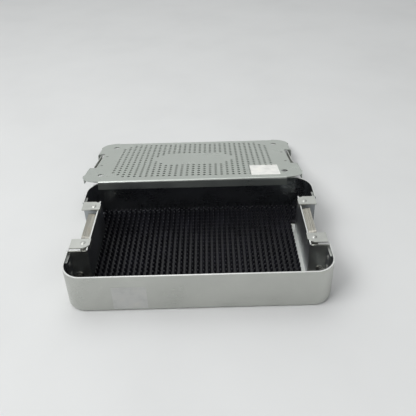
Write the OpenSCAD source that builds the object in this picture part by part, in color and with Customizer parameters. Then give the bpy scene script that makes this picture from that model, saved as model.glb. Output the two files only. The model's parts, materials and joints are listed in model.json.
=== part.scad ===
// Instrument sterilisation case: a drawn aluminium tub with a recess and a swinging
// bail handle at each end, a silicone finger mat, and a perforated lid that lifts off.
// The lid is shown off the tub, hooked over the back rim and leaning on the table.
// X runs along the length, the front faces -Y, +Z is up, and the origin is at the
// centre of the tub's flat underside.

/* [Tub] */
// Outside length of the tub
tub_l = 280; // [280:1:300]
// Outside width of the tub, front to back
tub_w = 166; // [165:1:180]
// Outside height of the tub
tub_h = 48.5; // [46:0.5:50]
// Thickness of the drawn sheet
tub_t = 1.5; // [1.2:0.1:2]
// Radius of the tub's upright corners
tub_r = 22; // [20:0.5:24]
// Outside radius where the walls meet the floor
edge_r = 3.5; // [2.5:0.5:5]

/* [End recess] */
// Height above the table of the lower edge of the opening in each end wall
opening_z = 7.5; // [6:0.5:8.5]
// Distance between the two return walls of a recess
recess_w = 82.4; // [82:0.2:84]
// Depth of a recess, from the tub's end to the face of its inner wall
recess_d = 21.6; // [21.2:0.2:21.8]
// Thickness of the recess sheet
recess_t = 1.5; // [1.2:0.1:1.6]

/* [Cap plates] */
// Distance between the two cap plates of a recess
cap_gap = 51; // [50:1:52]
// Size of a cap plate front to back
cap_w = 15; // [14:0.5:15]
// Thickness of a cap plate
cap_t = 1.2; // [1:0.1:1.5]
// Length of the cut-off corner of a cap plate, along the tub
cap_cut_x = 6.5; // [4:0.5:7]
// Width of the cut-off corner of a cap plate, front to back
cap_cut_y = 4.8; // [3:0.2:5]

/* [Bail handles] */
// Width of the stainless strip
strip_w = 8.5; // [7:0.5:9]
// Thickness of the stainless strip
strip_t = 1.8; // [1.4:0.1:2]
// Outside width of the bail
bail_w = 48; // [46:0.5:48.5]
// Diameter of the hinge rod
rod_d = 4; // [3.5:0.1:4.2]
// Height of the hinge rod above the table
rod_z = 13; // [12.5:0.1:13.5]
// Lean of a bail into its recess, in degrees
bail_lean = 10.6; // [8:0.2:11]

/* [Finger mat] */
// Greatest length of the mat, in front of and behind the recesses
mat_l = 270; // [255:1:271]
// Width of the mat
mat_w = 160; // [150:1:161]
// Height of the mat with its fingers
mat_h = 8.5; // [6:0.5:10]
// Width of the mat's two cut-outs for the recesses
mat_cut_w = 97; // [89:1:100]
// Length of the mat between the recesses
mat_waist_l = 231; // [224:1:231]
// Offset of the mat's waist from the centre, along the length
mat_waist_x = -2.2; // [-2.3:0.1:2.3]

/* [Lid] */
// Overhang of the lid beyond the tub on each side
lid_over = 2.4; // [2.3:0.1:3]
// Thickness of the lid sheet
lid_t = 1.2; // [1:0.1:1.4]
// Radius of the lid's corners
lid_r = 23.5; // [22:0.5:25]
// Height of the down-turned flanges
flange_h = 10.8; // [8:0.1:11.5]
// Distance between perforations along the lid
perf_pitch_x = 7.5; // [7.2:0.1:7.6]
// Distance between perforations across the lid
perf_pitch_y = 8.1; // [7.5:0.1:8.2]
// Diameter of a perforation
perf_d = 3.9; // [2.5:0.1:4]
// Diameter of the four stacking holes
stack_d = 8.4; // [5:0.2:9]
// Reach of the leaning lid's front edge inside the tub's back face
lid_hook = 5.4; // [5.2:0.1:7]
// Shift of the leaning lid along the tub
lid_shift = -9; // [-10:0.5:0]

/* [Hidden] */

eps = 0.01;

// Drain holes in the floor: a grid under the mat and one small hole at each recess corner
drain_pitch = 15.6;
drain_d = 5;
corner_drain = [tub_l / 2 - 24.6, 46.6];
corner_drain_d = 3;

// Recess
wall_lap = 1.2;
wall_x = tub_l / 2 - recess_d + wall_lap;
end_in = tub_l / 2 - tub_t;
tab_l = 15;
ear_w = 14;
ear_z0 = 15;
ear_z1 = tub_h - 4.5;
ear_rivet_y = recess_w / 2 + recess_t + ear_w / 2;
ear_rivet_z = [22.5, 36];
return_z0 = tub_t + 2.2;

// Cap plates
cap_in = wall_x - recess_t - wall_lap;
cap_out = tub_l / 2 - 2;
cap_y0 = cap_gap / 2;
cap_lip_h = 5;
cap_rivet_x = tub_l / 2 - 15.5;
cap_rivet_y = 32;
rivet_d = 3.2;
rivet_head_d = 6;

// Bail handles
rod_x = tub_l / 2 - 9;
rod_fit = 0.06;
eye_r = strip_w / 2;
bail_r = 5;
bail_top = tub_h - 0.4 - rod_z;

// Lid
lid_l = tub_l + 2 * lid_over;
lid_w = tub_w + 2 * lid_over;
bend_r = 2.8;
notch_w = 62;
notch_d = 10.5;
keeper_w = 51;
keeper_t = 1;
keeper_gap = 3.1;
keeper_drop = 6;
perf_half = 14;
perf_rows = 18;
stack_inset = [23, 24];
rim_gap = 2;
foot_gap = 0.1;
lid_lean = settled_lean(15, 8);
lid_top_z = tub_h + rim_gap + lid_t / cos(lid_lean) + lid_hook * tan(lid_lean);

// The lean at which the lid's back flange comes down to the table, found by repetition
function settled_lean(a, n) =
    let (rise = tub_h + rim_gap - foot_gap + lid_t / cos(a) + lid_hook * tan(a))
    n == 0 ? a : settled_lean(asin((rise - flange_h * cos(a)) / lid_w), n - 1);

// Finger mat
mat_r = tub_r - 4;

// Labels
label_t = 0.15;
front_label_x = -89;
front_label_z = 3.6;
lid_label_x = 75.5;
lid_label_y = 10.2;

// ---------- helpers ----------

module mirror_x(left) {
    mirror([left ? 1 : 0, 0, 0]) children();
}

// A rounded rectangle centred on the origin
module plan(l, w, r) {
    square([l - 2 * r, w], center = true);
    square([l, w - 2 * r], center = true);
    for (sx = [-1, 1])
        for (sy = [-1, 1])
            translate([sx * (l / 2 - r), sy * (w / 2 - r)]) circle(r, $fn = 96);
}

// Upright section of a block with both lower corners rounded
module section(w, h, r) {
    translate([-w / 2, r]) square([w, h - r]);
    translate([-w / 2 + r, 0]) square([w - 2 * r, r + eps]);
    for (s = [-1, 1])
        translate([s * (w / 2 - r), r]) circle(r, $fn = 48);
}

// A block with rounded upright corners and a rounded bottom edge
module drawn_block(l, w, h, r, e) {
    translate([-(l / 2 - r), 0, 0]) rotate([90, 0, 90])
        linear_extrude(l - 2 * r) section(w, h, e);
    translate([0, w / 2 - r, 0]) rotate([90, 0, 0])
        linear_extrude(w - 2 * r) section(l, h, e);
    for (sx = [-1, 1])
        for (sy = [-1, 1])
            translate([sx * (l / 2 - r), sy * (w / 2 - r), 0]) puck(r, h, e);
}

// A round corner post with a rounded bottom edge
module puck(r, h, e) {
    rotate_extrude($fn = 96) {
        translate([0, e]) square([r, h - e]);
        square([r - e, e + eps]);
        translate([r - e, e]) intersection() {
            circle(e, $fn = 48);
            translate([0, -e]) square([e, 2 * e]);
        }
    }
}

// Flat-headed rivet along +Z, its grip running from z = 0 to z = grip
module rivet(grip, d, head_d, head_h) {
    translate([0, 0, -head_h]) cylinder(h = head_h, d = head_d, $fn = 32);
    cylinder(h = grip, d = d, $fn = 32);
    translate([0, 0, grip]) rivet_head(head_d, head_h);
}

module rivet_head(head_d, head_h) {
    rotate_extrude($fn = 32) intersection() {
        translate([0, head_h - head_d * 0.7]) circle(head_d * 0.7, $fn = 64);
        square([head_d / 2, head_h]);
    }
}

// ---------- tub ----------

module tub_shell() color([0.67, 0.68, 0.65]) {
    difference() {
        drawn_block(tub_l, tub_w, tub_h, tub_r, edge_r);
        translate([0, 0, tub_t])
            drawn_block(tub_l - 2 * tub_t, tub_w - 2 * tub_t, tub_h, tub_r - tub_t, edge_r - tub_t);
        for (left = [false, true]) mirror_x(left) {
            end_opening();
            ear_rivet_holes();
        }
        drain_holes();
    }
}

module end_opening() {
    r = 5;
    translate([tub_l / 2 - 10, 0, 0]) rotate([90, 0, 90]) linear_extrude(20) {
        translate([-recess_w / 2, opening_z + r]) square([recess_w, tub_h]);
        translate([-recess_w / 2 + r, opening_z]) square([recess_w - 2 * r, tub_h]);
        for (s = [-1, 1])
            translate([s * (recess_w / 2 - r), opening_z + r]) circle(r, $fn = 48);
    }
}

module ear_rivet_holes() {
    for (s = [-1, 1])
        for (z = ear_rivet_z)
            translate([end_in - recess_t - 1, s * ear_rivet_y, z]) rotate([0, 90, 0])
                cylinder(h = 10, d = rivet_d, $fn = 32);
}

module drain_holes() {
    for (i = [-6.5:1:6.5])
        for (j = [-4:1:4])
            translate([i * drain_pitch, j * drain_pitch, -1])
                cylinder(h = tub_t + 2, d = drain_d, $fn = 24);
    for (x = [-1, 1])
        for (y = [-1, 1])
            translate([x * corner_drain.x, y * corner_drain.y, -1])
                cylinder(h = tub_t + 2, d = corner_drain_d, $fn = 24);
}

// ---------- end recess: inner wall, two returns, two ears, two top tabs ----------

module recess() color([0.72, 0.73, 0.70]) {
    x0 = wall_x - recess_t;
    half = recess_w / 2;
    difference() {
        union() {
            translate([x0, -half - recess_t, tub_t])
                cube([recess_t, recess_w + 2 * recess_t, tub_h - tub_t]);
            for (s = [0, 1]) mirror([0, s, 0]) {
                translate([x0, half, return_z0])
                    cube([end_in - x0, recess_t, tub_h - tub_t - return_z0]);
                translate([end_in - recess_t, half, ear_z0])
                    cube([recess_t, recess_t + ear_w, ear_z1 - ear_z0]);
                translate([x0, cap_y0 + 1, tub_h - recess_t])
                    cube([recess_t + tab_l, cap_w - cap_cut_y - 1, recess_t]);
            }
        }
        ear_rivet_holes();
        for (s = [-1, 1]) {
            translate([cap_rivet_x, s * cap_rivet_y, tub_h - 5])
                cylinder(h = 10, d = rivet_d, $fn = 32);
        }
        translate([rod_x, 50, rod_z]) rotate([90, 0, 0])
            cylinder(h = 100, d = rod_d, $fn = 48);
    }
}

module left_recess() mirror_x(true) recess();
module right_recess() recess();

// ---------- cap plates ----------

// Cap plate at the back of the right end
module cap() color([0.80, 0.81, 0.79]) {
    difference() {
        union() {
            translate([0, 0, tub_h]) linear_extrude(cap_t) cap_outline();
            translate([cap_in, cap_y0, tub_h - cap_lip_h])
                cube([1, cap_w - cap_cut_y, cap_lip_h + eps]);
        }
        translate([cap_rivet_x, cap_rivet_y, tub_h - 1]) cylinder(h = 5, d = rivet_d, $fn = 32);
    }
}

module cap_outline() {
    y1 = cap_y0 + cap_w;
    polygon([
        [cap_in, cap_y0],
        [cap_out, cap_y0],
        [cap_out, y1],
        [cap_in + cap_cut_x, y1],
        [cap_in, y1 - cap_cut_y]
    ]);
}

module cap_front_left() mirror([0, 1, 0]) mirror_x(true) cap();
module cap_back_left() mirror_x(true) cap();
module cap_front_right() mirror([0, 1, 0]) cap();
module cap_back_right() cap();

module cap_rivets() color([0.76, 0.77, 0.75])
    for (sx = [-1, 1])
        for (sy = [-1, 1])
            translate([sx * cap_rivet_x, sy * cap_rivet_y, tub_h - recess_t])
                rivet(recess_t + cap_t, rivet_d, rivet_head_d, 1.2);

module ear_rivets() color([0.76, 0.77, 0.75])
    for (left = [false, true]) mirror_x(left)
        for (s = [-1, 1])
            for (z = ear_rivet_z)
                translate([end_in - recess_t, s * ear_rivet_y, z]) rotate([0, 90, 0])
                    ear_rivet();

// Domed head inside the tub, flush with the end wall outside
module ear_rivet() {
    cylinder(h = recess_t + tub_t, d = rivet_d, $fn = 32);
    mirror([0, 0, 1]) rivet_head(rivet_head_d, 1.2);
}

// ---------- bail handles ----------

module hinge_rod() color([0.70, 0.70, 0.68])
    translate([rod_x, recess_w / 2 + recess_t + 1.6, rod_z]) rotate([90, 0, 0])
        cylinder(h = recess_w + 2 * recess_t + 3.2, d = rod_d, $fn = 48);

module left_hinge_rod() mirror_x(true) hinge_rod();
module right_hinge_rod() hinge_rod();

// Push-on washers that hold a hinge rod outside the two return walls
module rod_washers() color([0.62, 0.62, 0.60])
    for (s = [0, 1]) mirror([0, s, 0])
        translate([rod_x, recess_w / 2 + recess_t + 1, rod_z]) rotate([90, 0, 0])
            difference() {
                cylinder(h = 1, d = 9, $fn = 48);
                translate([0, 0, -1]) cylinder(h = 3, d = rod_d, $fn = 48);
            }

module left_rod_washers() mirror_x(true) rod_washers();
module right_rod_washers() rod_washers();

// Inverted U of stainless strip, its two eyes turning on the hinge rod
module bail() color([0.60, 0.59, 0.55])
    translate([rod_x, 0, rod_z]) rotate([0, -bail_lean, 0]) difference() {
        translate([-strip_w / 2, 0, 0]) rotate([90, 0, 90]) union() {
            linear_extrude(strip_w) difference() {
                bail_outline(bail_w, bail_top, bail_r);
                translate([0, -strip_t]) bail_outline(bail_w - 2 * strip_t, bail_top, bail_r - strip_t);
            }
            for (s = [-1, 1]) translate([s * (bail_w - strip_t) / 2, 0, strip_w / 2]) rotate([0, 90, 0])
                translate([0, 0, -strip_t / 2]) cylinder(h = strip_t, r = eye_r, $fn = 48);
        }
        rotate([90, 0, 0]) translate([0, 0, -40])
            cylinder(h = 80, d = rod_d + 2 * rod_fit, $fn = 48);
    }

module bail_outline(w, top, r) {
    translate([-w / 2, 0]) square([w, top - r]);
    translate([-w / 2 + r, 0]) square([w - 2 * r, top]);
    for (s = [-1, 1]) translate([s * (w / 2 - r), top - r]) circle(r, $fn = 48);
}

module left_bail() mirror_x(true) bail();
module right_bail() bail();

// ---------- finger mat: base sheet and fingers as one block ----------

module finger_mat() color([0.10, 0.10, 0.11])
    translate([0, 0, tub_t]) linear_extrude(mat_h) difference() {
        plan(mat_l, mat_w, mat_r);
        for (left = [0, 1]) mirror([left, 0, 0])
            translate([mat_waist_l / 2 + (left ? -mat_waist_x : mat_waist_x), -mat_cut_w / 2])
                square([mat_l, mat_cut_w]);
    }

// ---------- labels ----------

module front_label() color([0.78, 0.79, 0.77])
    translate([front_label_x, -tub_w / 2 - label_t, front_label_z]) cube([35.7, label_t, 30.5]);

module lid_label() color([0.92, 0.92, 0.90])
    lean() translate([lid_label_x, lid_label_y, 0]) cube([37, 38, label_t]);

// ---------- lid, in its own frame: front edge on y = 0, top face on z = 0 ----------

// Puts a piece of the lid in its leaning place
module lean()
    translate([lid_shift, tub_w / 2 - lid_hook, lid_top_z]) rotate([-lid_lean, 0, 0]) children();

// Place of a row of perforations, from the lid's front edge
function perf_y(j) = lid_w / 2 + (j - (perf_rows - 1) / 2) * perf_pitch_y;

// True where the lid has a perforation: corners are cut and the middle is blank
function perforated(i, j) =
    let (a = abs(i), b = min(j, perf_rows - 1 - j))
    a <= perf_half - 2 + b && !(a <= 7 && b > max(5, a));

module lid_plate() color([0.69, 0.71, 0.68])
    lean() difference() {
        union() {
            translate([0, 0, -lid_t]) linear_extrude(lid_t) difference() {
                translate([0, lid_w / 2]) plan(lid_l, lid_w, lid_r);
                flange_strips();
                for (s = [-1, 1]) translate([s * (lid_l / 2), lid_w / 2])
                    square([2 * notch_d, notch_w], center = true);
            }
            flanges();
        }
        perforations();
    }

// What the flat sheet loses along each flange, so that the bend can take its place
module flange_strips() {
    side = lid_l - 2 * lid_r;
    translate([-side / 2, -1]) square([side, 1 + bend_r]);
    translate([-side / 2, lid_w - bend_r]) square([side, 1 + bend_r]);
    for (s = [-1, 1]) for (y = [lid_r, lid_w / 2 + notch_w / 2])
        translate([s > 0 ? lid_l / 2 - bend_r : -lid_l / 2 - 1, y])
            square([1 + bend_r, lid_w / 2 - notch_w / 2 - lid_r]);
}

module flanges() {
    side = lid_l - 2 * lid_r;
    lobe = lid_w / 2 - notch_w / 2 - lid_r;
    translate([-side / 2, 0, 0]) rotate([90, 0, 90]) linear_extrude(side) flange_section();
    translate([side / 2, lid_w, 0]) rotate([90, 0, -90]) linear_extrude(side) flange_section();
    for (y = [lid_r, lid_w / 2 + notch_w / 2]) {
        translate([lid_l / 2, y, 0]) rotate([90, 0, 180]) linear_extrude(lobe) flange_section();
        translate([-lid_l / 2, y + lobe, 0]) rotate([90, 0, 0]) linear_extrude(lobe) flange_section();
    }
}

// Bent edge: x runs into the sheet from the outer face, y is up from the flange's foot
module flange_section() {
    translate([0, -flange_h]) square([lid_t, flange_h - bend_r]);
    translate([bend_r, -bend_r]) intersection() {
        difference() {
            circle(bend_r, $fn = 48);
            circle(bend_r - lid_t, $fn = 48);
        }
        translate([-bend_r, 0]) square(bend_r);
    }
}

module perforations() {
    for (i = [-perf_half:perf_half])
        for (j = [0:perf_rows - 1])
            if (perforated(i, j))
                translate([i * perf_pitch_x, perf_y(j), -2 * lid_t])
                    cylinder(h = 3 * lid_t, d = perf_d, $fn = 16);
    for (x = [-1, 1])
        for (y = [stack_inset.y, lid_w - stack_inset.y])
            translate([x * (lid_l / 2 - stack_inset.x), y, -2 * lid_t])
                cylinder(h = 3 * lid_t, d = stack_d, $fn = 32);
}

// J strip under the lid: two welded arms, a drop, a floor and an upright outer lip
module keeper() color([0.75, 0.76, 0.73])
    lean() translate([0, lid_w / 2, 0]) {
        x0 = lid_l / 2 - notch_d - keeper_t;
        x1 = x0 + keeper_gap + 2 * keeper_t;
        translate([x0, -keeper_w / 2, -lid_t - keeper_drop]) cube([keeper_t, keeper_w, keeper_drop]);
        translate([x0, -keeper_w / 2, -lid_t - keeper_drop])
            cube([x1 - x0, keeper_w, keeper_t]);
        translate([x1 - keeper_t, -keeper_w / 2, -lid_t - keeper_drop])
            cube([keeper_t, keeper_w, keeper_drop + lid_t]);
        for (s = [-1, 1]) translate([x0 - 10, s * 19.5 - 6, -lid_t - keeper_t])
            cube([10 + eps, 12, keeper_t]);
    }

module left_keeper() translate([2 * lid_shift, 0, 0]) mirror_x(true) keeper();
module right_keeper() keeper();

tub_shell();
left_recess();
right_recess();
cap_front_left();
cap_back_left();
cap_front_right();
cap_back_right();
cap_rivets();
ear_rivets();
left_hinge_rod();
right_hinge_rod();
left_rod_washers();
right_rod_washers();
finger_mat();
front_label();
left_bail();
right_bail();
lid_plate();
left_keeper();
right_keeper();
lid_label();
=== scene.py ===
import json
import math
import random

import bpy
from mathutils import Matrix, Vector


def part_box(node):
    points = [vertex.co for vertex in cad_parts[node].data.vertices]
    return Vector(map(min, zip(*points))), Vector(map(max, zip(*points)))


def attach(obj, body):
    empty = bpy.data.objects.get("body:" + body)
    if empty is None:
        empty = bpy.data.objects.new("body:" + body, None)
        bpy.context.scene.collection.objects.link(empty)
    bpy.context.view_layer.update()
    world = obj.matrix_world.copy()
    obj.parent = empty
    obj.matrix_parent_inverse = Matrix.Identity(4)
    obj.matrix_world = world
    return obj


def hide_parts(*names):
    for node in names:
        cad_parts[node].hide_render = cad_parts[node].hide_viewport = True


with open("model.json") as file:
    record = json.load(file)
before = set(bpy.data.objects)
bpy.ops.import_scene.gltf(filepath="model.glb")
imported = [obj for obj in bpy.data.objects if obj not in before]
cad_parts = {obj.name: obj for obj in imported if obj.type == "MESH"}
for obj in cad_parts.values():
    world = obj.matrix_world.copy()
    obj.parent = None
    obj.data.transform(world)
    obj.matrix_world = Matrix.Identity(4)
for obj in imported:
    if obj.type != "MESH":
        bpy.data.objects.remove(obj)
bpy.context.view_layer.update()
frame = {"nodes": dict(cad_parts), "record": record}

MM = 0.001

# ---------- camera, light and floor ----------

# Where the camera stands in metres, how it is turned in degrees, and its lens
EYE = (0.0173, -0.4506, 0.4177)
AZIMUTH = -0.12
ELEVATION = 31.4
ROLL = -1.45
LENS_MM = 44.16
SHIFT = (-0.0128, -0.1394)

FLOOR_HALF = 6.0


def add_camera():
    data = bpy.data.cameras.new("camera")
    data.sensor_width = 36
    data.lens = LENS_MM
    data.shift_x, data.shift_y = SHIFT
    camera = bpy.data.objects.new("camera", data)
    turn = Matrix.Rotation(math.radians(AZIMUTH), 4, "Z")
    tip = Matrix.Rotation(math.radians(90 - ELEVATION), 4, "X")
    roll = Matrix.Rotation(math.radians(ROLL), 4, "Z")
    camera.matrix_world = Matrix.Translation(EYE) @ turn @ tip @ roll
    bpy.context.scene.collection.objects.link(camera)
    bpy.context.scene.camera = camera


def add_area_light(name, place, target, size, power):
    """A white rectangular light at place that points at target."""
    data = bpy.data.lights.new(name, "AREA")
    data.shape = "RECTANGLE"
    data.size, data.size_y = size
    data.energy = power
    light = bpy.data.objects.new(name, data)
    light.location = place
    light.rotation_euler = (Vector(target) - Vector(place)).to_track_quat("-Z", "Y").to_euler()
    bpy.context.scene.collection.objects.link(light)


def add_world():
    """Studio surround: a pale backdrop behind the object, and a dim room in front of it."""
    world = bpy.data.worlds.new("studio")
    bpy.context.scene.world = world
    world.use_nodes = True
    nodes, links = world.node_tree.nodes, world.node_tree.links
    coords = nodes.new("ShaderNodeTexCoord")
    behind = nodes.new("ShaderNodeVectorMath")
    behind.operation = "DOT_PRODUCT"
    behind.inputs[1].default_value = (-0.35, 1, 0)
    ramp = nodes.new("ShaderNodeValToRGB")
    links.new(coords.outputs["Generated"], behind.inputs[0])
    links.new(behind.outputs["Value"], ramp.inputs[0])
    ramp.color_ramp.elements[0].position = 0.0
    ramp.color_ramp.elements[0].color = (0.12, 0.12, 0.13, 1)
    ramp.color_ramp.elements[1].position = 0.9
    ramp.color_ramp.elements[1].color = (0.98, 1.0, 0.99, 1)
    links.new(ramp.outputs["Color"], nodes["Background"].inputs["Color"])
    nodes["Background"].inputs["Strength"].default_value = 0.8


def add_floor():
    half = FLOOR_HALF
    mesh = bpy.data.meshes.new("floor")
    corners = [(-half, -half, 0), (half, -half, 0), (half, half, 0), (-half, half, 0)]
    mesh.from_pydata(corners, [], [(0, 1, 2, 3)])
    floor = bpy.data.objects.new("floor", mesh)
    bpy.context.scene.collection.objects.link(floor)
    surface = Surface("floor_paper", (0.78, 0.79, 0.785), 0, 0.75)
    surface.tint(surface.noise(6, detail=3), 0.97, 1.02)
    mesh.materials.append(surface.material)


# ---------- materials ----------

class Surface:
    """A principled material, and the layers of procedural detail put on it."""

    def __init__(self, name, colour, metallic, roughness, specular=0.5):
        self.material = bpy.data.materials.new(name)
        self.material.use_nodes = True
        self.nodes = self.material.node_tree.nodes
        self.links = self.material.node_tree.links
        self.shader = self.nodes["Principled BSDF"]
        self.colour = colour
        self.roughness = roughness
        self.shader.inputs["Base Color"].default_value = (*colour, 1)
        self.shader.inputs["Metallic"].default_value = metallic
        self.shader.inputs["Roughness"].default_value = roughness
        self.shader.inputs["Specular IOR Level"].default_value = specular
        self.place = self.nodes.new("ShaderNodeTexCoord").outputs["Object"]

    def mapped(self, scale, turn=(0, 0, 0)):
        """The object's own coordinates, turned and then stretched."""
        node = self.nodes.new("ShaderNodeMapping")
        node.vector_type = "TEXTURE"
        node.inputs["Rotation"].default_value = turn
        self.links.new(self.place, node.inputs["Vector"])
        stretch = self.nodes.new("ShaderNodeVectorMath")
        stretch.operation = "MULTIPLY"
        self.links.new(node.outputs["Vector"], stretch.inputs[0])
        stretch.inputs[1].default_value = scale
        return stretch.outputs["Vector"]

    def noise(self, scale, detail=4, stretch=(1, 1, 1), turn=(0, 0, 0), rough=0.55):
        """Noise with about scale features to a metre along each axis times stretch."""
        node = self.nodes.new("ShaderNodeTexNoise")
        node.inputs["Scale"].default_value = scale
        node.inputs["Detail"].default_value = detail
        node.inputs["Roughness"].default_value = rough
        self.links.new(self.mapped(stretch, turn), node.inputs["Vector"])
        return node.outputs["Fac"]

    def spread(self, value, low, high, start=0.35, end=0.65):
        """value between start and end, as low to high."""
        node = self.nodes.new("ShaderNodeMapRange")
        node.inputs["From Min"].default_value = start
        node.inputs["From Max"].default_value = end
        node.inputs["To Min"].default_value = low
        node.inputs["To Max"].default_value = high
        self.links.new(value, node.inputs["Value"])
        return node.outputs["Result"]

    def maths(self, operation, a, b=0.0):
        node = self.nodes.new("ShaderNodeMath")
        node.operation = operation
        for socket, value in zip(node.inputs, (a, b)):
            if isinstance(value, (int, float)):
                socket.default_value = value
            else:
                self.links.new(value, socket)
        return node.outputs["Value"]

    def colour_mix(self, factor, colour):
        """Lays colour over what the shader's base colour is so far."""
        node = self.nodes.new("ShaderNodeMix")
        node.data_type = "RGBA"
        under, over = (s for s in node.inputs if s.type == "RGBA")
        result = next(s for s in node.outputs if s.type == "RGBA")
        base = self.shader.inputs["Base Color"]
        if base.is_linked:
            self.links.new(base.links[0].from_socket, under)
        else:
            under.default_value = base.default_value
        over.default_value = (*colour, 1)
        self.links.new(factor, node.inputs["Factor"])
        self.links.new(result, base)

    def tint(self, value, low, high, warm=0.0):
        """Makes the base colour darker or lighter with value, and warmer where it is light."""
        dark = [c * low for c in self.colour]
        light = [c * high * (1 + warm * k) for c, k in zip(self.colour, (1, 0.3, -1))]
        self.colour_mix(self.spread(value, 1, 0, 0.3, 0.5), dark)
        self.colour_mix(self.spread(value, 0, 1, 0.5, 0.7), light)

    def roughen(self, *values):
        """Adds these values, each centred on 0, to the roughness."""
        total = self.roughness
        for value in values:
            total = self.maths("ADD", value, total)
        self.links.new(total, self.shader.inputs["Roughness"])

    def bump(self, height, strength, depth):
        node = self.nodes.new("ShaderNodeBump")
        node.inputs["Strength"].default_value = strength
        node.inputs["Distance"].default_value = depth
        self.links.new(height, node.inputs["Height"])
        normal = self.shader.inputs["Normal"]
        if normal.is_linked:
            self.links.new(normal.links[0].from_socket, node.inputs["Normal"])
        self.links.new(node.outputs["Normal"], normal)

    def inward(self):
        """1 on walls that face the object's middle, 0 on other walls and on level faces."""
        coords = self.nodes.new("ShaderNodeTexCoord")
        dots = self.nodes.new("ShaderNodeVectorMath")
        dots.operation = "DOT_PRODUCT"
        flat = self.nodes.new("ShaderNodeVectorMath")
        flat.operation = "MULTIPLY"
        self.links.new(coords.outputs["Normal"], flat.inputs[0])
        flat.inputs[1].default_value = (1, 1, 0)
        self.links.new(flat.outputs["Vector"], dots.inputs[0])
        self.links.new(self.place, dots.inputs[1])
        return self.spread(dots.outputs["Value"], 1, 0, -0.03, -0.01)

    def axis(self, name):
        split = self.nodes.new("ShaderNodeSeparateXYZ")
        self.links.new(self.place, split.inputs[0])
        return split.outputs[name]


# Painted shade on the case's inner walls, painted highlight on its upper edges and painted light
# on its floor
INSIDE_PAINTED_SHADE = (0.40, 0.42, 0.44)
RIM_PAINTED_HIGHLIGHT = (0.80, 0.81, 0.79)
FLOOR_PAINTED_LIGHT = (0.84, 0.85, 0.81)

# The floor's painted light fades out between these heights, and the edges' painted highlight fades
# in below the rim
FLOOR_LIGHT_FADE = (1.6 * MM, 1.8 * MM)
RIM_HIGHLIGHT_FADE = (0.3 * MM, 0.1 * MM)

# The lid's spot welds: how far from a keeper's middle and from its inner edge, and the ring's size
WELD_ALONG = 19.5
WELD_INSET = 5.5 * MM
WELD_DARK = (1.2 * MM, 2.5 * MM)
WELD_DENT = (0.8 * MM, 1.8 * MM)

# Inward lean of the bails in degrees, which their brushing follows
BAIL_LEAN = 10.6


def satin_aluminium(name, colour, roughness, grain=(0.05, 1, 1), wear=0.5, smoother=None):
    """Anodised sheet: cloudy tone, rolled grain along the sheet, faint rubs and a fine tooth.

    smoother is set for sheets that form the inside of the case. Their walls that face the
    middle get painted shade and are that much less rough; their upper edges get a painted
    highlight and their floor painted light."""
    surface = Surface(name, colour, 1, roughness)
    cloud = surface.noise(22, detail=5)
    rolled = surface.noise(1400, detail=3, stretch=grain)
    rubs = surface.noise(260, detail=2, stretch=(0.35, 1, 0.6), turn=(0.2, 0.1, 0.5))
    tooth = surface.noise(5200, detail=2)
    surface.tint(cloud, 1 - 0.16 * wear, 1 + 0.14 * wear)
    surface.colour_mix(
        surface.spread(rubs, 0, 0.35 * wear, 0.60, 0.74), [min(1, c * 1.25) for c in colour]
    )
    surface.roughen(
        surface.spread(cloud, -0.05, 0.06),
        surface.spread(rolled, -0.04, 0.04),
        surface.spread(rubs, 0, 0.10 * wear, 0.5, 0.7),
    )
    surface.bump(rolled, 0.25, 0.02 * MM)
    surface.bump(tooth, 0.20, 0.02 * MM)
    if smoother is not None:
        # Painted shade: walls that face the middle are darkened to a flat grey, and made less
        # rough
        inward = surface.inward()
        surface.colour_mix(inward, INSIDE_PAINTED_SHADE)
        rough = surface.shader.inputs["Roughness"].links[0].from_socket
        change = surface.maths("MULTIPLY", inward, -smoother)
        surface.links.new(surface.maths("ADD", rough, change), surface.shader.inputs["Roughness"])
        # Painted light: the floor, below 1.6 to 1.8 mm, is brightened
        floor = surface.spread(surface.axis("Z"), 1, 0, *FLOOR_LIGHT_FADE)
        surface.colour_mix(floor, FLOOR_PAINTED_LIGHT)
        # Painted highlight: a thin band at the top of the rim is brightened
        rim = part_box("tub_shell")[1].z
        cut = surface.spread(surface.axis("Z"), 0, 1, rim - RIM_HIGHLIGHT_FADE[0], rim - RIM_HIGHLIGHT_FADE[1])
        surface.colour_mix(cut, RIM_PAINTED_HIGHLIGHT)
    return surface


def brushed_steel(name, colour, roughness, turn=(0, 0, 0)):
    """Stainless strip or wire with streaks along its length, which lies in the YZ plane."""
    surface = Surface(name, colour, 1, roughness)
    streaks = surface.noise(1900, detail=5, stretch=(1, 0.02, 0.02), turn=turn, rough=0.7)
    bands = surface.noise(420, detail=2, stretch=(1, 0.03, 0.03), turn=turn)
    stains = surface.noise(75, detail=4)
    surface.tint(streaks, 0.62, 1.35, warm=0.04)
    surface.colour_mix(surface.spread(bands, 0, 0.55, 0.45, 0.62), [c * 0.62 for c in colour])
    stained = [c * k for c, k in zip(colour, (1.0, 0.86, 0.70))]
    surface.colour_mix(surface.spread(stains, 0, 0.4, 0.55, 0.7), stained)
    surface.roughen(surface.spread(streaks, -0.08, 0.10), surface.spread(stains, 0, 0.08))
    surface.bump(streaks, 0.5, 0.02 * MM)
    return surface


def black_silicone(name):
    """Moulded silicone: matte, with a fine bloom of dust and mould grain."""
    surface = Surface(name, (0.005, 0.005, 0.008), 0, 0.33, specular=0.42)
    bloom = surface.noise(60, detail=5)
    dust = surface.noise(1600, detail=2)
    surface.tint(bloom, 0.7, 1.9)
    surface.colour_mix(surface.spread(dust, 0, 0.25, 0.66, 0.76), (0.03, 0.03, 0.03))
    surface.roughen(surface.spread(bloom, -0.06, 0.10), surface.spread(dust, -0.03, 0.05))
    surface.bump(dust, 0.3, 0.03 * MM)
    return surface


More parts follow.
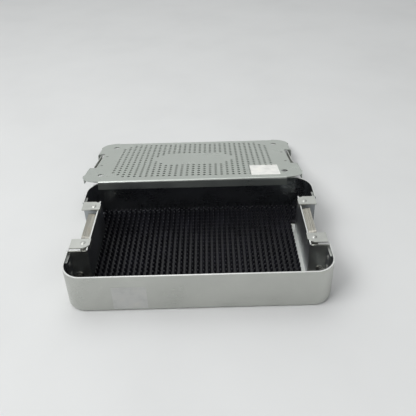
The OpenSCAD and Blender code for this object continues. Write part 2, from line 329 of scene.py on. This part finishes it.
def paper_label(name, colour, roughness, fibre=1.0):
    """Matte label: fibres, a little soiling and soft creases."""
    surface = Surface(name, colour, 0, roughness)
    soil = surface.noise(85, detail=5)
    fibres = surface.noise(1300, detail=3, stretch=(1, 0.25, 0.6))
    crease = surface.noise(150, detail=1, stretch=(1, 0.5, 0.5), turn=(0, 0, 0.6))
    surface.tint(soil, 0.86, 1.05, warm=0.02)
    darker = [c * 0.86 for c in colour]
    surface.colour_mix(surface.spread(fibres, 0, 0.25 * fibre, 0.5, 0.7), darker)
    surface.roughen(surface.spread(fibres, -0.05, 0.05), surface.spread(soil, -0.04, 0.06))
    surface.bump(fibres, 0.3, 0.02 * MM)
    surface.bump(crease, 0.35, 0.15 * MM)
    return surface


def lid_finish():
    """The lid's sheet, with the marks of the four spot welds that hold the two keepers."""
    surface = satin_aluminium("lid_aluminium", (0.50, 0.53, 0.495), 0.33, wear=0.1)
    for node, side in (("left_keeper", -1), ("right_keeper", 1)):
        low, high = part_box(node)
        inner = high.x if side < 0 else low.x
        middle = (low.y + high.y) / 2
        for along in (-WELD_ALONG, WELD_ALONG):
            weld_mark(surface, (inner + side * WELD_INSET, middle + along * MM))
    return surface


def weld_mark(surface, centre):
    """A dark, shallow dent where a spot welder's tip pressed the sheet."""
    dx = surface.maths("SUBTRACT", surface.axis("X"), centre[0])
    dy = surface.maths("SUBTRACT", surface.axis("Y"), centre[1])
    squares = [surface.maths("POWER", distance, 2.0) for distance in (dx, dy)]
    away = surface.maths("SQRT", surface.maths("ADD", *squares))
    surface.colour_mix(surface.spread(away, 0.9, 0, *WELD_DARK), (0.14, 0.15, 0.13))
    surface.bump(surface.spread(away, 0, 1, *WELD_DENT), 0.5, 0.1 * MM)


def make_finishes():
    """One material for each of the record's slots."""
    lean = math.radians(BAIL_LEAN)
    made = {
        # smoother also gives these two sheets their painted inside shade, rim highlight and floor
        # light
        "tub_aluminium": satin_aluminium("tub_aluminium", (0.52, 0.53, 0.50), 0.34, smoother=0.05),
        "recess_aluminium": satin_aluminium(
            "recess_aluminium", (0.60, 0.61, 0.57), 0.36, smoother=0
        ),
        "cap_aluminium": satin_aluminium("cap_aluminium", (0.57, 0.58, 0.55), 0.40, wear=0.7),
        "rivet_aluminium": satin_aluminium("rivet_aluminium", (0.56, 0.57, 0.54), 0.50, wear=0.3),
        "rod_steel": brushed_steel("rod_steel", (0.50, 0.49, 0.46), 0.30),
        "bail_steel": brushed_steel("bail_steel", (0.40, 0.39, 0.35), 0.30, turn=(0, lean, 0)),
        "mat_silicone": black_silicone("mat_silicone"),
        "front_tape": paper_label("front_tape", (0.60, 0.61, 0.59), 0.5, fibre=0.5),
        "lid_aluminium": lid_finish(),
        "keeper_aluminium": satin_aluminium("keeper_aluminium", (0.62, 0.63, 0.60), 0.33),
        "lid_sticker": paper_label("lid_sticker", (0.90, 0.90, 0.86), 0.6),
    }
    return {slot: surface.material for slot, surface in made.items()}


def dress_cad_nodes(finishes):
    """Gives each CAD node the finish of its slot."""
    for part in frame["record"]["subparts"]:
        mesh = frame["nodes"][part["node"]].data
        mesh.materials.clear()
        mesh.materials.append(finishes[part["material_slot"]])


# ---------- finger mat ----------

# Spacing of the fingers, their radius at the foot and the tip, and how far a tip may drift
PITCH_X = 6.3 * MM
PITCH_Y = 6.55 * MM
FINGER_FOOT = 1.9 * MM
FINGER_TIP = 1.3 * MM
FINGER_SIDES = 12
FINGER_DRIFT = 0.18

# The sheet's thickness, corners, scallops and half the width of its two cut-outs
MAT_SHEET = 1.6 * MM
MAT_CORNER = 18 * MM
SCALLOP = 2.0 * MM
SCALLOP_STEPS = 8
CUT_HALF = 48.5 * MM


def finger_profile(height):
    """Radius and height of each ring of a finger, from its filleted foot to its domed tip."""
    dome = FINGER_TIP * 0.8
    shoulder = height - dome
    rings = [
        (FINGER_FOOT * 1.25, 0),
        (FINGER_FOOT * 1.04, 0.35 * MM),
        (FINGER_FOOT * 0.95, 0.9 * MM),
        (FINGER_TIP * 1.05, shoulder),
    ]
    for step in (25, 50, 72):
        angle = math.radians(step)
        rings.append((FINGER_TIP * math.cos(angle), shoulder + dome * math.sin(angle)))
    return rings


def add_finger(points, faces, foot, height, drift):
    """One finger standing on foot, its tip drifted sideways a little."""
    start = len(points)
    rings = finger_profile(height)
    for radius, up in rings:
        share = (up / height) ** 2
        for k in range(FINGER_SIDES):
            angle = 2 * math.pi * k / FINGER_SIDES
            x = foot.x + radius * math.cos(angle) + drift[0] * share
            y = foot.y + radius * math.sin(angle) + drift[1] * share
            points.append((x, y, foot.z + up))
    for ring in range(len(rings) - 1):
        for k in range(FINGER_SIDES):
            a = start + ring * FINGER_SIDES + k
            b = start + ring * FINGER_SIDES + (k + 1) % FINGER_SIDES
            faces.append((a, b, b + FINGER_SIDES, a + FINGER_SIDES))
    last = start + (len(rings) - 1) * FINGER_SIDES
    top = len(points)
    points.append((foot.x + drift[0], foot.y + drift[1], foot.z + height))
    for k in range(FINGER_SIDES):
        faces.append((last + k, last + (k + 1) % FINGER_SIDES, top))


def waist_edges():
    """The mat's two edges beside the recesses, from the CAD block's own points."""
    block = frame["nodes"]["finger_mat"].data
    beside = [v.co.x for v in block.vertices if abs(v.co.y) < CUT_HALF + MM]
    return max(x for x in beside if x < 0), min(x for x in beside if x > 0)


def inside_mat(x, y, margin, low, high, waist):
    """True where the mat is at least margin away from its edge."""
    if abs(y) < CUT_HALF + margin:
        return waist[0] + margin <= x <= waist[1] - margin
    if not (low.x + margin <= x <= high.x - margin and low.y + margin <= y <= high.y - margin):
        return False
    dx = abs(x) - (high.x - MAT_CORNER)
    dy = abs(y) - (high.y - MAT_CORNER)
    return dx < 0 or dy < 0 or math.hypot(dx, dy) <= MAT_CORNER - margin


def scalloped(start, end, out):
    """Points from start towards end along an edge that bulges round each finger beside it."""
    length = (end - start).length
    along = (end - start) / length
    steps = round(length / PITCH_Y) * SCALLOP_STEPS
    points = []
    for k in range(steps):
        point = start + along * length * k / steps
        depth = SCALLOP * (1 - abs(math.sin(math.pi * point.y / PITCH_Y)))
        points.append(point - out * depth)
    return points


def mat_outline(low, high, waist):
    """Points round the mat: round corners, a cut-out at each recess, scallops beside them."""
    points = []
    for side, edge in ((1, waist[1]), (-1, waist[0])):
        cut = CUT_HALF * side
        far = high.x * side
        points.append(Vector((far, -cut)))
        points.extend(scalloped(Vector((edge, -cut)), Vector((edge, cut)), Vector((side, 0))))
        points.append(Vector((edge, cut)))
        points.append(Vector((far, cut)))
        centre = Vector((far - MAT_CORNER * side, (high.y - MAT_CORNER) * side))
        points.extend(corner_arc(centre, 0 if side > 0 else 180))
        centre = Vector((-far + MAT_CORNER * side, (high.y - MAT_CORNER) * side))
        points.extend(corner_arc(centre, 90 if side > 0 else 270))
    return points


def corner_arc(centre, start_angle):
    """Points round one of the mat's corners, a quarter turn from start_angle."""
    points = []
    for step in range(0, 91, 10):
        angle = math.radians(start_angle + step)
        points.append(centre + Vector((math.cos(angle), math.sin(angle))) * MAT_CORNER)
    return points


def add_mat_sheet(points, faces, outline, low):
    """The sheet under the fingers, closed all round."""
    start, count = len(points), len(outline)
    for z in (low.z, low.z + MAT_SHEET):
        points.extend((p.x, p.y, z) for p in outline)
    faces.append(tuple(range(start + count - 1, start - 1, -1)))
    faces.append(tuple(range(start + count, start + 2 * count)))
    for k in range(count):
        a, b = start + k, start + (k + 1) % count
        faces.append((a, b, b + count, a + count))


def make_finger_mat(finishes):
    """Thin silicone sheet with rows of soft tapered fingers, in the place of its CAD block."""
    low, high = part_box("finger_mat")
    waist = waist_edges()
    points, faces = [], []
    add_mat_sheet(points, faces, mat_outline(low, high, waist), low)
    margin = FINGER_FOOT + 0.1 * MM
    sway = random.Random(11)
    height = high.z - low.z - MAT_SHEET
    half_rows = int((high.y - margin) / PITCH_Y - 0.5)
    half_columns = int((high.x - low.x) / PITCH_X / 2) + 1
    for row in range(-half_rows - 1, half_rows + 1):
        y = (row + 0.5) * PITCH_Y
        for column in range(-half_columns, half_columns + 1):
            x = (waist[0] + waist[1]) / 2 + column * PITCH_X
            drift = [sway.uniform(-FINGER_DRIFT, FINGER_DRIFT) * MM for _ in range(2)]
            if inside_mat(x, y, margin, low, high, waist):
                add_finger(points, faces, Vector((x, y, low.z + MAT_SHEET)), height, drift)
    mesh = bpy.data.meshes.new("silicone_finger_mat")
    mesh.from_pydata(points, [], faces)
    mesh.validate()
    mesh.materials.append(finishes["mat_silicone"])
    for polygon in mesh.polygons:
        polygon.use_smooth = len(polygon.vertices) < 5
    mat = bpy.data.objects.new("silicone_finger_mat", mesh)
    bpy.context.scene.collection.objects.link(mat)
    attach(mat, "case")
    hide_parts("finger_mat")


# ---------- the scene ----------

bpy.context.scene.view_settings.view_transform = "Standard"
add_camera()
add_world()
add_floor()
add_area_light("key", (-0.9, -0.5, 1.5), (0, 0.03, 0), (1.0, 0.8), 16.5)
add_area_light("fill", (1.1, -0.9, 1.1), (0, 0, 0), (1.4, 1.0), 4)
add_area_light("overhead", (-0.2, 0.7, 2.3), (-0.1, 0.6, 0), (2.0, 2.0), 17)
finishes = make_finishes()
dress_cad_nodes(finishes)
make_finger_mat(finishes)
